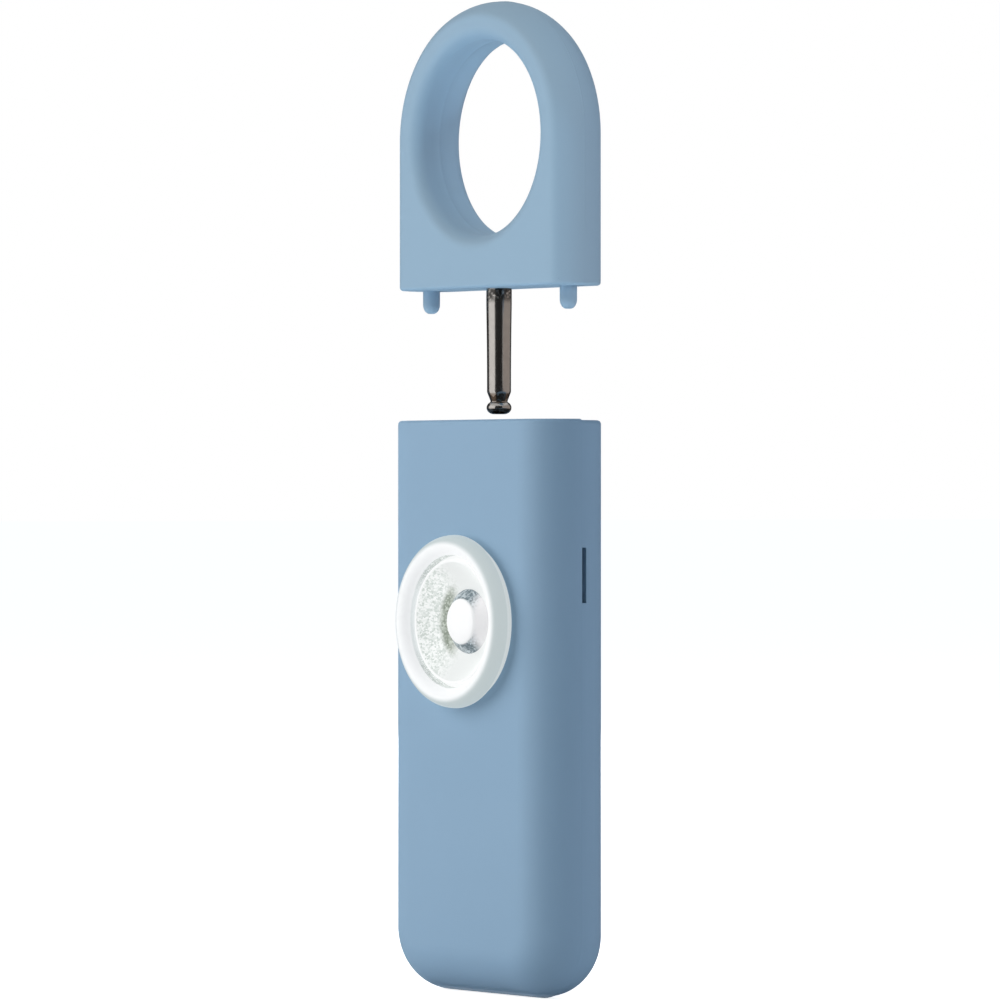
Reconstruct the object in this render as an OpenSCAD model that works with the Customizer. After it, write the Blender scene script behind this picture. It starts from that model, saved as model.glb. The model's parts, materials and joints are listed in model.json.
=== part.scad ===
// Personal safety alarm: a slim rounded case with a strobe light on its front, and a ring
// handle whose pin is pulled out of the top to start the siren. Millimetres, +Z up, the
// light faces -Y, the origin is under the middle of the part. The handle is drawn pulled out.

/* [Case] */
// Width of the case and the handle
body_w = 28; // [26:0.5:31]
// Depth of the case, front face to back face
body_d = 9.6; // [9.2:0.1:11]
// Height of the case without the handle
body_h = 58.8; // [57:0.1:66]
// Radius of the two bottom corners in the front view
corner_r = 6.5; // [5.6:0.1:8]
// Wall of the two shells
wall = 1.3; // [1.1:0.05:1.4]
// Rounding of the case's top edge, and bevel of the handle's bottom edge
edge_r = 0.4; // [0.2:0.05:0.6]
// Open joint line between the two shells
seam_gap = 0.08; // [0.06:0.02:0.2]
// How far the joint line lies ahead of the middle plane
seam_ahead = 0.25; // [0:0.05:0.4]
// How far the rear shell lies inside the front shell's outline
rear_step = 0.12; // [0.06:0.02:0.2]
// Reach of the rear shell's tongue into the front shell
lip_h = 0.9; // [0.7:0.1:1.2]
// Clearance round the tongue
lip_clear = 0.1; // [0.05:0.05:0.15]

/* [Sound slots] */
// Length of the slot in each side
slot_l = 5.6; // [4:0.1:8]
// Width of the slot
slot_w = 0.55; // [0.4:0.05:0.8]
// Height of the slot's middle
slot_z = 43; // [36:0.5:46]

/* [Handle] */
// Height of the handle without its pegs
handle_h = 29.4; // [29:0.1:34]
// Depth of the handle, front to back
handle_d = 6.5; // [6.2:0.1:7.2]
// Rounding between the handle's flat faces and its round sides
side_edge_r = 1.2; // [0.8:0.05:1.4]
// Diameter of the finger ring
ring_bore_d = 20.1; // [18.5:0.1:20.4]
// Rounding of the finger ring's rim
rim_r = 1.4; // [0.6:0.05:1.5]
// How far the handle stands out above its home place
lift = 13.5; // [13.2:0.1:20]
// Joint line between the two halves of the handle
parting_gap = 0.06; // [0.04:0.02:0.12]

/* [Locating pegs] */
// Diameter of the two pegs under the handle
peg_d = 1.8; // [1.4:0.1:2]
// Length of the pegs below the handle
peg_l = 2.3; // [1.8:0.1:2.8]
// Distance of each peg's middle from the side
peg_in = 2.6; // [2.4:0.1:4]
// Depth of the pegs' roots in the handle
peg_root = 2.6; // [2:0.1:3.2]
// Clearance of the pegs in their sockets
peg_clear = 0.2; // [0.1:0.05:0.3]

/* [Pull pin] */
// Diameter of the pin and of its ball tip
pin_d = 2.6; // [2.4:0.05:2.8]
// Length of the pin below the handle
pin_l = 12.9; // [12.4:0.1:13]
// Diameter of the groove above the ball tip
waist_d = 2; // [1.8:0.05:2.2]
// Height of the groove's middle above the pin's tip
waist_up = 1.55; // [1.5:0.05:1.7]
// Length of the cone from the pin down to its groove
neck_l = 0.75; // [0.5:0.05:1]
// Diameter of the pin's head in the handle
head_d = 4; // [3.6:0.1:4.6]
// Height of the pin's head
head_h = 2.4; // [2:0.1:2.6]
// Height of the head's seat above the handle's bottom
head_up = 1.6; // [1.4:0.1:1.8]
// Clearance of the head in its pocket
head_fit = 0.05; // [0.03:0.01:0.08]

/* [Light] */
// Height of the light's middle
light_z = 38.2; // [37.5:0.1:39]
// Outer diameter of the milky light ring
light_d = 17.6; // [16.8:0.1:17.8]
// How far the light ring stands out of the front face
ring_stand = 2.35; // [2:0.05:2.6]
// Thickness of the light ring's round bead
bead_d = 2; // [1.8:0.05:2.2]
// How much the ring draws in below its bead
skirt_in = 0.45; // [0.3:0.05:0.6]
// How much smaller the hole in the shell is than the ring, on the radius
hole_in = 0.75; // [0.7:0.05:0.9]
// Catch of the ring behind the front wall
barb = 0.35; // [0.2:0.05:0.4]
// Height of that catch
barb_h = 0.55; // [0.4:0.05:0.7]
// Fit between the light's pieces
light_fit = 0.05; // [0.03:0.01:0.08]
// Open groove between the ring and the reflector's rim
rim_groove = 0.45; // [0.3:0.05:0.5]
// Depth of the reflector's rim below the ring's crest
rim_down = 1.1; // [0.9:0.05:1.3]
// Depth of the open groove
groove_down = 0.75; // [0.5:0.05:0.9]
// Width of the reflector's flat rim
rim_flat = 0.25; // [0.15:0.05:0.4]
// Radius of the reflector's bowl
bowl_r = 8; // [7.6:0.1:9]
// Diameter of the clear lens in the reflector
lens_d = 6.5; // [6:0.1:6.8]
// Diameter of the lens's flat front
lens_front_d = 4.5; // [4:0.1:5]
// Depth of the lens's front below the reflector's rim
lens_down = 0.75; // [0.6:0.05:0.9]
// Height of the lens's sloped side
lens_slope = 1.3; // [1.1:0.05:1.5]
// Width of the flange that holds the lens behind the reflector
lens_flange = 0.9; // [0.6:0.1:1.2]
// Thickness of that flange
flange_t = 0.4; // [0.3:0.05:0.5]
// Wall of the reflector's skirt
skirt_t = 0.8; // [0.6:0.1:1]
// Side of the square lamp chip
led_w = 3.2; // [2.8:0.1:3.3]
// Height of the lamp chip
led_t = 1.4; // [1:0.1:1.5]

/* [Circuit board] */
// Gap between the front wall and the board
board_gap = 1.5; // [1.4:0.05:1.6]
// Thickness of the board
board_t = 1; // [0.8:0.1:1]
// Clearance between the board's edge and the shells
board_clear = 0.35; // [0.25:0.05:0.5]
// Height of the board's lower end
board_z = 3; // [2.6:0.1:3.4]
// Thread of the screws that hold the board
screw_d = 1.2; // [1:0.1:1.3]
// Diameter of the screws' heads
screw_head_d = 2.7; // [2.4:0.1:3]
// Height of the screws' heads
screw_head_t = 0.7; // [0.5:0.1:0.8]
// Length of the screws below their heads
screw_l = 2.2; // [1.8:0.1:2.4]
// Fit of the screws in their holes
screw_fit = 0.04; // [0.02:0.01:0.08]
// Diameter of the posts that carry the board
post_d = 3.2; // [2.8:0.1:3.6]
// Distance of the screw posts' middle from the side
post_in = 5.3; // [5:0.1:6]
// Height of the screw posts
post_z = 27.6; // [27.4:0.1:28]
// Diameter of the plain posts at the board's upper corners
rest_d = 2; // [1.6:0.1:2.4]
// Distance of the plain posts' middle from the side
rest_in = 4.4; // [4:0.1:5]
// How far the plain posts lie below the board's upper end
rest_down = 1.4; // [1.2:0.1:2]

/* [Parts on the board] */
// Width of the driver chip
chip_w = 4.4; // [3:0.1:5]
// Height of the driver chip
chip_h = 4.9; // [3:0.1:5]
// Thickness of the driver chip
chip_t = 1.5; // [1:0.1:2]
// Distance of the chip from the middle
chip_x = 5.5; // [4:0.1:7]
// Diameter of the boost coil
coil_d = 6; // [5:0.1:6.4]
// Thickness of the boost coil
coil_t = 2.8; // [2:0.1:3.2]
// Diameter of the coil's winding
winding_d = 5.2; // [4:0.1:5.6]
// Thickness of the coil's two flanges
coil_flange_t = 0.5; // [0.4:0.05:0.7]
// Distance of the coil from the middle
coil_x = 4.6; // [3.6:0.1:6]
// How far the chip and the coil lie below the light's middle
parts_down = 4; // [3:0.1:5]
// How far the row of small parts lies above the light's middle
row_up = 2; // [1:0.1:2.2]
// Distance of the row's first parts from the middle
row_x = 5.2; // [5:0.1:6]
// Length of a resistor
resistor_l = 1.6; // [1:0.1:2]
// Width of a resistor
resistor_w = 0.8; // [0.5:0.05:1.2]
// Thickness of a resistor
resistor_t = 0.5; // [0.3:0.05:0.6]
// Step from one resistor to the next
resistor_step = 2.2; // [2.1:0.1:2.4]
// Length of a capacitor
capacitor_l = 2; // [1.6:0.1:2.4]
// Width of a capacitor
capacitor_w = 1.2; // [0.8:0.05:1.4]
// Thickness of a capacitor
capacitor_t = 1.2; // [0.8:0.1:1.6]
// Step from one capacitor to the next
capacitor_step = 2.8; // [2.5:0.1:3.2]

/* [Siren] */
// Diameter of the brass plate
piezo_d = 20; // [18:0.1:20.4]
// Thickness of the brass plate
piezo_t = 0.2; // [0.15:0.05:0.3]
// Diameter of the ceramic disc on the plate
ceramic_d = 14; // [12:0.1:15]
// Thickness of the ceramic disc
ceramic_t = 0.2; // [0.15:0.05:0.3]
// Height of the siren's middle
piezo_z = 14.5; // [14.2:0.1:15]
// Height of the ledge that carries the plate
ledge_h = 0.6; // [0.4:0.05:0.6]
// Width of that ledge
ledge_w = 1.2; // [1:0.1:1.5]
// Diameter of the siren's two contacts
siren_pin_d = 1.4; // [1:0.1:1.6]

/* [Batteries] */
// Diameter of a coin cell
cell_d = 20; // [19.6:0.1:20.2]
// Thickness of a coin cell
cell_t = 1.6; // [1.5:0.05:1.65]
// Width of the bevel round a coin cell's cap
cell_step = 1.2; // [0.8:0.1:1.6]
// Height of that cap above the can
cell_cap_t = 0.2; // [0.15:0.05:0.3]
// Height of the cells' middle
cell_z = 14; // [13.8:0.1:14.2]
// Gap between the board and the cells
cell_gap = 0.4; // [0.35:0.05:0.45]
// Clearance of the cells in their tray
cell_clear = 0.1; // [0.05:0.05:0.15]
// Height of the tray's upper end
tray_top = 25.2; // [24.8:0.1:25.4]
// Height of the tray's lower end
tray_z = 3.2; // [3:0.1:3.5]
// Thickness of the sheet-metal contacts
strip_t = 0.25; // [0.15:0.05:0.25]
// Width of the contacts
strip_w = 5; // [3:0.5:6]
// Diameter of the pads that bear on the tray
pad_d = 2; // [1.6:0.1:2.2]

/* [Pin switch] */
// Width of the switch
switch_w = 5.2; // [4.4:0.1:6]
// Depth of the switch
switch_d = 3.2; // [3:0.1:3.4]
// Height of the switch
switch_h = 4.2; // [4:0.1:4.6]
// Travel of the switch's plunger
plunger_travel = 1.1; // [0.8:0.05:1.2]
// Diameter of the plunger
plunger_d = 1.6; // [1.5:0.05:1.65]
// How far the plunger lies behind the pin's axis
plunger_back = 0.35; // [0.3:0.05:0.4]
// Length of the plunger
plunger_l = 3.5; // [3.2:0.1:3.6]
// Length of the plunger that still shows when it is pressed
plunger_show = 0.6; // [0.4:0.05:0.7]
// Height of the plunger's flange
plunger_flange_h = 1.1; // [0.8:0.1:1.2]
// Width of the plunger's flange
plunger_flange = 0.25; // [0.2:0.05:0.3]
// Clearance of the plunger in the switch
plunger_clear = 0.08; // [0.05:0.01:0.1]
// Clearance between the home pin's tip and the pressed plunger
press_clear = 0.1; // [0.05:0.05:0.15]
// Floor under the plunger's spring
switch_floor = 0.7; // [0.5:0.1:0.8]
// Diameter of the spring under the plunger
spring_d = 1; // [0.8:0.05:1]
// Wire of that spring
spring_wire = 0.18; // [0.15:0.01:0.2]
// Depth of the spring's seat in the plunger
spring_seat = 2; // [1.8:0.1:2.2]

/* [Pin guide] */
// Diameter of the tube that guides the pin
guide_d = 4.4; // [4.2:0.1:4.8]
// Running clearance of the pin in the guide, on the radius
guide_fit = 0.06; // [0.04:0.01:0.08]
// Clearance of the pin in the hole through the top wall, on the radius
pin_hole_clear = 0.25; // [0.15:0.05:0.35]
// Gap between the guide's ends and what they face
guide_gap = 0.1; // [0.05:0.05:0.2]
// Width of the ribs that hold the guide
rib_w = 9; // [7:0.5:11]
// Thickness of those ribs
rib_t = 1.2; // [1:0.1:1.4]
// Wire of the spring clip that holds the pin
clip_wire = 0.6; // [0.5:0.05:0.65]
// Clearance between the clip and the pin's ball
clip_clear = 0.05; // [0.03:0.01:0.08]
// Length of the clip's legs each side of the pin
clip_leg = 2.6; // [2.2:0.1:2.8]

/* [Hidden] */
$fn = 72;

// The middle plane lies behind the origin, because the light ring stands out in front.
mid_y = (ring_stand + rear_step) / 2;
// Half the depth, and half the width of the flat faces between the round edges
face_h = body_d / 2;
flat_half = body_w / 2 - face_h;
foot_drop = corner_r - face_h;
foot_half = flat_half - foot_drop;
inner_h = face_h - wall;
lip_inset = wall / 2;
seam_y = -seam_ahead;
rebate_y = seam_y - lip_h - lip_clear;
// A cut runs past the surface that it opens by this much
over = 1;
root = wall / 2;
pin_r = pin_d / 2;
peg_x = body_w / 2 - peg_in;
post_x = body_w / 2 - post_in;
rest_x = body_w / 2 - rest_in;

// Heights that follow from the pin in its home place
home_tip = body_h - pin_l;
home_waist = home_tip + waist_up;
handle_z = body_h + lift;
arch_z = handle_h - body_w / 2;
bore_r = ring_bore_d / 2;
grip_h = handle_d / 2;
// The handle's roundings meet its faces at a slight angle
round_sink = 0.03;
// Middle of the rounding between the handle's face and side, from the axis of the side
side_edge_h = grip_h - side_edge_r + round_sink;
side_arm = face_h - side_edge_r + round_sink;
side_edge_x = sqrt(side_arm * side_arm - side_edge_h * side_edge_h);
rim_c = bore_r + rim_r - round_sink;
rim_y = grip_h - rim_r + round_sink;

// Heights above the middle plane, towards the front
board_front = inner_h - board_gap;
board_rear = board_front - board_t;
cell_front = board_rear - cell_gap;
cell_mid = cell_front - cell_t;
cell_rear = cell_mid - cell_t;
light_r = light_d / 2;
hole_r = light_r - hole_in;
crest_h = face_h + ring_stand;
bead_h = crest_h - bead_d / 2;
light_bore_r = light_r - bead_d;
reflector_r = light_bore_r - light_fit;
reflector_rim_r = light_bore_r - rim_groove;
rim_h = crest_h - rim_down;
groove_h = rim_h - groove_down;
bowl_rim_r = reflector_rim_r - rim_flat;
bowl_h = rim_h + sqrt(bowl_r * bowl_r - bowl_rim_r * bowl_rim_r);
lens_r = lens_d / 2;
lens_seat_r = lens_r + light_fit;
lens_front_h = rim_h - lens_down;
lens_foot_h = lens_front_h - lens_slope;
flange_h = board_front + led_t + light_fit;
piezo_front = inner_h - ledge_h;
piezo_rear = piezo_front - piezo_t;
ceramic_rear = piezo_rear - ceramic_t;

// The switch and its plunger hang from the pin's home place
pressed_top = home_tip - press_clear;
plunger_top = pressed_top + plunger_travel;
plunger_z = plunger_top - plunger_l;
switch_top = pressed_top - plunger_show;
switch_z = switch_top - switch_h;
spring_z = switch_z + switch_floor;
plunger_r = plunger_d / 2;
plunger_flange_r = plunger_r + plunger_flange;
board_top = switch_top - guide_gap;
guide_z = plunger_top - plunger_flange;
guide_top = body_h - wall - guide_gap;
guide_r = guide_d / 2;
rib_z = [home_waist + 2 * rib_t, guide_top - 2 * rib_t];
parts_z = light_z - parts_down;
row_z = light_z + row_up;
clip_x = pin_r + clip_clear + clip_wire / 2;

// Moves a piece from the middle plane to its place in the part
module placed() {
    translate([0, mid_y, 0]) children();
}

// Turns a piece so that its own Z points out of the front, at a given place on the face
module facing(x, z) {
    translate([x, 0, z]) rotate([90, 0, 0]) children();
}

// Round bar between two heights above the middle plane
module round_bar(r, from, to) {
    translate([0, 0, from]) cylinder(r = r, h = to - from);
}

// Half of an upright section with a rounded upper outer edge
module half_section(r, h, e) {
    square([r, h - e]);
    square([r - e, h]);
    translate([r - e, h - e]) circle(e);
}

module plain_half_section(r, h) {
    square([r, h]);
}

// Bottom corner of the case: its full round edge swept round a quarter turn
module foot_corner(r) {
    rotate([90, 0, 0]) rotate([0, 0, -90]) rotate_extrude(angle = 90) intersection() {
        union() {
            translate([0, -r]) square([foot_drop, 2 * r]);
            translate([foot_drop, 0]) circle(r);
        }
        translate([0, -r]) square([foot_drop + r, 2 * r]);
    }
}

// Lower end of the case, below the height of its corner radius
module body_foot(r) {
    translate([-foot_half, 0, 0]) rotate([90, 0, 90]) linear_extrude(2 * foot_half) {
        translate([-r, -foot_drop]) square([2 * r, foot_drop]);
        translate([0, -foot_drop]) circle(r);
    }
    for (turn = [0, 180]) {
        rotate([0, 0, turn]) translate([foot_half, 0, 0]) foot_corner(r);
    }
}

// Straight part with full round sides, from a half section given as the child
module round_sided() {
    translate([-flat_half, 0, 0]) rotate([90, 0, 90]) linear_extrude(2 * flat_half) {
        children();
        mirror([1, 0]) children();
    }
    for (turn = [0, 180]) {
        rotate([0, 0, turn]) translate([flat_half, 0, 0]) rotate([0, 0, -90])
            rotate_extrude(angle = 180) children();
    }
}

// Outside of the case, drawn in by a small step for the rear shell
module body_outside(inset) {
    translate([0, 0, corner_r]) {
        round_sided() half_section(face_h - inset, body_h - inset - corner_r, edge_r);
        body_foot(face_h - inset);
    }
}

// The same shape with a plain top edge, for spaces within the walls
module body_inside(inset) {
    translate([0, 0, corner_r]) {
        round_sided() plain_half_section(face_h - inset, body_h - inset - corner_r);
        body_foot(face_h - inset);
    }
}

// Space on the front side of a plane y, and on the rear side
module half_space() {
    translate([-body_w, 0, -over]) cube([2 * body_w, 2 * body_d, handle_z + handle_h + 2 * over]);
}

module ahead_of(y) {
    translate([0, y, 0]) mirror([0, 1, 0]) half_space();
}

module behind(y) {
    translate([0, y, 0]) half_space();
}

// Holes in the top wall for the pin and the two pegs
module top_holes() {
    translate([0, 0, guide_top - over]) cylinder(r = pin_r + pin_hole_clear, h = 2 * wall + over);
    for (side = [-1, 1]) {
        translate([side * peg_x, 0, body_h - peg_l - peg_clear])
            cylinder(r = peg_d / 2 + peg_clear, h = peg_l + wall);
    }
}

// Ribs in both shells that hold the pin's guide
module guide_ribs() {
    difference() {
        for (z = rib_z) {
            translate([-rib_w / 2, -face_h, z]) cube([rib_w, body_d, rib_t]);
        }
        translate([0, 0, guide_z - over]) cylinder(r = guide_r + guide_fit, h = body_h);
    }
}

// Posts and ledge that carry the board and the siren on the front wall
module front_posts() {
    for (side = [-1, 1]) {
        facing(side * post_x, post_z) round_bar(post_d / 2, board_front, inner_h + root);
        facing(side * rest_x, board_top - rest_down) round_bar(rest_d / 2, board_front, inner_h + root);
    }
    facing(0, piezo_z) difference() {
        round_bar(piezo_d / 2, inner_h - ledge_h, inner_h + root);
        round_bar(piezo_d / 2 - ledge_w, inner_h - ledge_h - over, inner_h + over);
    }
}

// Pads on the rear wall that bear on the battery tray's corners, clear of the cells
module rear_pads() {
    for (side = [-1, 1], z = [tray_z + pad_d, tray_top - pad_d]) {
        facing(side * (flat_half - pad_d / 2), z) round_bar(pad_d / 2, -inner_h - root, cell_rear);
    }
}

module front_shell() {
    color("lightsteelblue") placed() difference() {
        union() {
            intersection() {
                difference() {
                    body_outside(0);
                    body_inside(wall);
                }
                ahead_of(seam_y - seam_gap / 2);
            }
            intersection() {
                union() {
                    front_posts();
                    guide_ribs();
                }
                body_inside(root);
                ahead_of(rebate_y);
            }
        }
        intersection() {
            body_inside(lip_inset);
            behind(rebate_y);
        }
        facing(0, light_z) round_bar(hole_r, inner_h - over, face_h + over);
        for (side = [-1, 1]) {
            facing(side * post_x, post_z) round_bar(screw_d / 2 + screw_fit, board_front - over, inner_h);
        }
        top_holes();
    }
}

module rear_shell() {
    color("lightsteelblue") placed() difference() {
        union() {
            intersection() {
                difference() {
                    body_outside(rear_step);
                    body_inside(wall);
                }
                behind(seam_y + seam_gap / 2);
            }
            intersection() {
                difference() {
                    body_inside(lip_inset + lip_clear);
                    body_inside(wall);
                }
                behind(seam_y - lip_h);
                ahead_of(seam_y + seam_gap);
            }
            intersection() {
                union() {
                    rear_pads();
                    guide_ribs();
                }
                body_inside(root);
                behind(seam_y + seam_gap / 2);
            }
        }
        top_holes();
        for (side = [-1, 1]) {
            translate([side * body_w / 2 - 2 * wall, seam_y - 2 * lip_h, slot_z - slot_l / 2])
                cube([4 * wall, 2 * lip_h + seam_gap / 2 + slot_w, slot_l]);
        }
    }
}

module light_ring() {
    color("white") placed() facing(0, light_z) rotate_extrude() {
        translate([light_r - bead_d / 2, bead_h]) circle(d = bead_d);
        translate([light_bore_r, face_h + light_fit])
            square([bead_d - skirt_in, bead_h - face_h - light_fit]);
        translate([light_bore_r, inner_h - light_fit - barb_h])
            square([hole_r - light_fit - light_bore_r, bead_h - inner_h + light_fit + barb_h]);
        translate([light_bore_r, inner_h - light_fit - barb_h])
            square([hole_r + barb - light_bore_r, barb_h]);
    }
}

module reflector() {
    color("gainsboro") placed() facing(0, light_z) difference() {
        union() {
            round_bar(reflector_r, board_front, groove_h);
            round_bar(reflector_rim_r, board_front, rim_h);
        }
        translate([0, 0, bowl_h]) sphere(bowl_r);
        round_bar(lens_seat_r, board_front - over, rim_h);
        round_bar(reflector_r - skirt_t, board_front - over, flange_h + flange_t + light_fit);
    }
}

module strobe_lens() {
    color("white") placed() facing(0, light_z) rotate_extrude() {
        translate([0, flange_h]) square([lens_r + lens_flange, flange_t]);
        polygon([
            [0, flange_h], [lens_r, flange_h], [lens_r, lens_foot_h],
            [lens_front_d / 2, lens_front_h], [0, lens_front_h]
        ]);
    }
}

module strobe_led() {
    color("khaki") placed() facing(0, light_z) {
        translate([-led_w / 2, -led_w / 2, board_front]) cube([led_w, led_w, led_t]);
    }
}

module circuit_board() {
    color("darkgreen") placed() difference() {
        intersection() {
            body_inside(wall + board_clear);
            translate([-body_w / 2, -board_front, board_z]) cube([body_w, board_t, board_top - board_z]);
        }
        for (side = [-1, 1]) {
            facing(side * post_x, post_z)
                round_bar(screw_d / 2 + screw_fit, board_rear - over, board_front + over);
        }
    }
}

module board_screws() {
    color("silver") placed() for (side = [-1, 1]) {
        facing(side * post_x, post_z) {
            round_bar(screw_head_d / 2, board_rear - screw_head_t, board_rear);
            round_bar(screw_d / 2, board_rear, board_rear + screw_l);
        }
    }
}

// Block on the rear of the board, centred at a place on it
module board_block(x, z, w, h, t) {
    translate([x - w / 2, -board_rear, z - h / 2]) cube([w, t, h]);
}

module driver_chip() {
    color("dimgray") placed() board_block(chip_x, parts_z, chip_w, chip_h, chip_t);
}

module boost_coil() {
    color("sienna") placed() facing(-coil_x, parts_z) rotate_extrude() {
        translate([0, board_rear - coil_t]) square([winding_d / 2, coil_t]);
        for (h = [board_rear - coil_t, board_rear - coil_flange_t]) {
            translate([0, h]) square([coil_d / 2, coil_flange_t]);
        }
    }
}

module board_resistors() {
    color("black") placed() for (i = [0 : 2]) {
        board_block(row_x + i * resistor_step, row_z, resistor_l, resistor_w, resistor_t);
    }
}

module board_capacitors() {
    color("tan") placed() for (i = [0 : 1]) {
        board_block(-row_x - i * capacitor_step, row_z, capacitor_l, capacitor_w, capacitor_t);
    }
}

module piezo_plate() {
    color("goldenrod") placed() facing(0, piezo_z) round_bar(piezo_d / 2, piezo_rear, piezo_front);
}

module piezo_ceramic() {
    color("ivory") placed() facing(0, piezo_z) round_bar(ceramic_d / 2, ceramic_rear, piezo_rear);
}

module siren_contacts() {
    color("gold") placed() {
        facing(0, piezo_z) round_bar(siren_pin_d / 2, board_front, ceramic_rear);
        facing((piezo_d + ceramic_d) / 4, piezo_z) round_bar(siren_pin_d / 2, board_front, piezo_rear);
    }
}

module battery_tray() {
    color("slategray") placed() difference() {
        intersection() {
            body_inside(wall + board_clear);
            translate([-body_w / 2, -board_rear, tray_z])
                cube([body_w, board_rear - cell_rear, tray_top - tray_z]);
        }
        facing(0, cell_z) round_bar(cell_d / 2 + cell_clear, cell_rear - over, board_rear + over);
    }
}

// Coin cell whose cap faces the front
module coin_cell(rear) {
    facing(0, cell_z) {
        round_bar(cell_d / 2, rear, rear + cell_t - cell_cap_t);
        round_bar(cell_d / 2 - cell_step, rear, rear + cell_t);
    }
}

module coin_cell_front() {
    color("silver") placed() coin_cell(cell_mid);
}

module coin_cell_rear() {
    color("silver") placed() coin_cell(cell_rear);
}

module negative_contact() {
    color("gold") placed() {
        translate([-strip_w, -board_rear, cell_z - strip_w / 2])
            cube([2 * strip_w, cell_gap / 2, strip_w]);
        facing(0, cell_z) round_bar(strip_w / 4, cell_front, board_rear);
    }
}

module positive_contact() {
    color("gold") placed() {
        translate([-strip_w / 2, -cell_rear, cell_z - strip_w])
            cube([strip_w, strip_t, tray_top + 2 * strip_t - cell_z + strip_w]);
        translate([-strip_w / 2, -board_rear, tray_top + strip_t])
            cube([strip_w, board_rear - cell_rear + strip_t, strip_t]);
    }
}

module pin_switch() {
    bore_r = plunger_flange_r + plunger_clear;
    bore_top = plunger_z + plunger_flange_h + plunger_clear;
    color("dimgray") placed() difference() {
        translate([-switch_w / 2, -board_rear, switch_z]) cube([switch_w, switch_d, switch_h]);
        translate([0, plunger_back, spring_z]) {
            cylinder(r = bore_r, h = bore_top - spring_z);
            cylinder(r = plunger_r + plunger_clear, h = switch_h);
        }
    }
}

module switch_plunger() {
    color("white") placed() translate([0, plunger_back, plunger_z]) difference() {
        union() {
            cylinder(r = plunger_r, h = plunger_l);
            cylinder(r = plunger_flange_r, h = plunger_flange_h);
        }
        translate([0, 0, -over]) cylinder(d = spring_d + 2 * plunger_clear, h = spring_seat + over);
    }
}

// The plunger's spring, drawn as the sleeve that its turns fill
module switch_spring() {
    color("silver") placed() translate([0, plunger_back, spring_z]) difference() {
        cylinder(d = spring_d, h = plunger_z + spring_seat - spring_z);
        translate([0, 0, -over]) cylinder(d = spring_d - 2 * spring_wire, h = body_h);
    }
}

module pin_guide() {
    color("darkgoldenrod") placed() difference() {
        translate([0, 0, guide_z]) cylinder(r = guide_r, h = guide_top - guide_z);
        translate([0, 0, guide_z - over]) cylinder(r = pin_r + guide_fit, h = body_h);
        for (side = [0, 1]) {
            mirror([side, 0, 0]) translate([waist_d / 2, -guide_r, home_waist - clip_wire / 2 - clip_clear])
                cube([guide_r, 2 * guide_r, clip_wire + 2 * clip_clear]);
        }
    }
}

module pin_clip() {
    color("silver") placed() translate([0, 0, home_waist]) {
        for (side = [-1, 1]) {
            translate([side * clip_x, -clip_leg, 0]) rotate([-90, 0, 0])
                cylinder(d = clip_wire, h = clip_leg + pin_r);
        }
        translate([0, pin_r, 0]) rotate_extrude(angle = 180) translate([clip_x, 0]) circle(d = clip_wire);
    }
}

// Section that is cut away to round the finger ring's rim
module rim_cut() {
    difference() {
        square([rim_c, rim_r + over]);
        translate([rim_c, 0]) circle(rim_r);
        square([bore_r - over, rim_r + over]);
    }
}

// Section that is cut away to round the edge between the handle's face and side
module side_edge_cut() {
    reach = 2 * side_edge_r / side_arm;
    translate([flat_half + side_edge_x, side_edge_h]) difference() {
        polygon([
            [0, 0], [0, 2 * side_edge_r],
            [reach * side_edge_x, 2 * side_edge_r + reach * side_edge_h],
            [reach * side_edge_x, reach * side_edge_h]
        ]);
        circle(side_edge_r);
    }
}

// Half of the handle's section: flat faces, rounded edges and a round side
module grip_half() {
    difference() {
        intersection() {
            union() {
                translate([0, -face_h]) square([flat_half, body_d]);
                translate([flat_half, 0]) circle(face_h);
            }
            translate([0, -grip_h]) square([body_w, handle_d]);
        }
        side_edge_cut();
        mirror([0, 1]) side_edge_cut();
    }
}

// Upright bar as wide as its half section on both sides, bevelled round its upper end
module bevelled_bar(half, h, length) {
    linear_extrude(length, center = true) polygon([
        [-half, 0], [half, 0], [half, h - edge_r], [half - edge_r, h],
        [-half + edge_r, h], [-half, h - edge_r]
    ]);
}

// Lower part of the handle, upside down with its bottom at the top
module handle_foot() {
    intersection() {
        linear_extrude(arch_z) {
            grip_half();
            mirror([1, 0]) grip_half();
        }
        rotate([90, 0, 0]) bevelled_bar(body_w / 2, arch_z, 2 * handle_d);
        rotate([90, 0, 90]) bevelled_bar(grip_h, arch_z, 2 * body_w);
    }
}

// Whole handle above its own bottom plane
module handle_solid() {
    difference() {
        union() {
            translate([0, 0, arch_z]) mirror([0, 0, 1]) handle_foot();
            facing(0, arch_z) rotate_extrude(angle = 180) grip_half();
        }
        facing(0, arch_z) cylinder(r = bore_r, h = 2 * handle_d, center = true);
        for (face = [0, 1]) {
            mirror([0, face, 0]) facing(0, arch_z) translate([0, 0, rim_y]) rotate_extrude() rim_cut();
        }
        translate([0, 0, head_up - head_fit]) cylinder(d = head_d + 2 * head_fit, h = head_h + 2 * head_fit);
        translate([0, 0, -over]) cylinder(r = pin_r + head_fit, h = head_up + over);
    }
}

// Peg with a rounded tip, and its root in the handle
module peg(fit) {
    tip = peg_d / 4;
    rotate_extrude() {
        translate([0, -peg_l + tip]) square([peg_d / 2 + fit, peg_l - tip + peg_root + fit]);
        translate([0, -peg_l]) square([peg_d / 2 - tip, peg_l]);
        translate([peg_d / 2 - tip, -peg_l + tip]) circle(tip);
    }
}

module handle_pegs(fit) {
    for (side = [-1, 1]) {
        translate([side * peg_x, 0, 0]) peg(fit);
    }
}

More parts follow.
